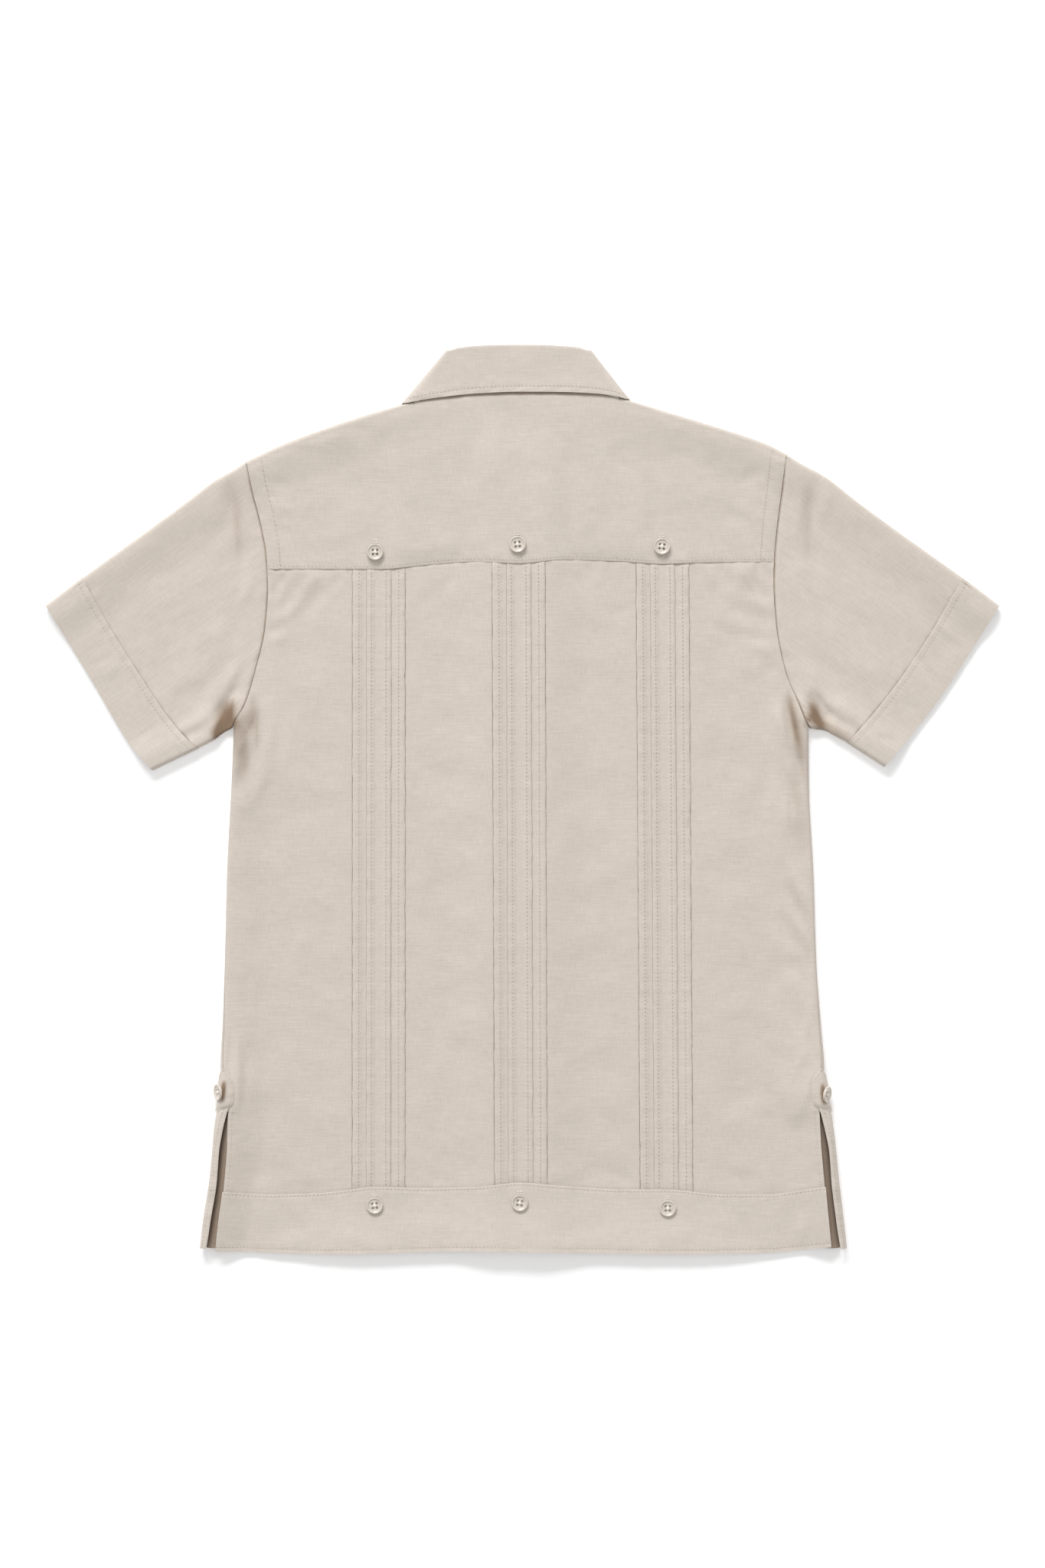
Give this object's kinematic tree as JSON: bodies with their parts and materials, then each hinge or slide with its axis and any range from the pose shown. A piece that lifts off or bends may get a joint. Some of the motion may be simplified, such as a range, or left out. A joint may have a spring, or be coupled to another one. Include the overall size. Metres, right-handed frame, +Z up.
{
  "type": "guayabera shirt",
  "caption": "Short-sleeved boy's guayabera laid flat face down: pleated back with pointed yoke and hem band, folded collar, cuffed sleeves, side vents with buttoned patches",
  "frame": {"origin": "on the surface the shirt lies on, under the middle of its outline", "axes": "X across the shirt from its left sleeve to its right as seen from above, +Y towards the collar, +Z up from the surface; the shirt's back is up"},
  "size_m": [0.6662, 0.6358, 0.0146],
  "materials": {
    "cloth": "matt plain-weave linen and cotton cloth in pale sand, with stitching of the same colour",
    "button": "pearly beige four-hole shirt button with a raised rim"
  },
  "bodies": {
    "root": {"back": "cloth", "yoke": "cloth", "hem_back": "cloth", "front_left": "cloth", "front_right": "cloth", "hem_front_left": "cloth", "hem_front_right": "cloth", "sleeve_left": "cloth", "sleeve_right": "cloth", "cuff_left": "cloth", "cuff_right": "cloth", "collar_leaf": "cloth", "collar_stand": "cloth", "vent_patch_left": "cloth", "vent_patch_right": "cloth", "button_yoke_left": "button", "button_yoke_middle": "button", "button_yoke_right": "button", "button_hem_left": "button", "button_hem_middle": "button", "button_hem_right": "button", "button_vent_left": "button", "button_vent_right": "button", "button_collar": "button", "button_front_1": "button", "button_front_2": "button", "button_front_3": "button", "button_front_4": "button", "button_front_5": "button", "button_front_6": "button"}
  },
  "joints": []
}
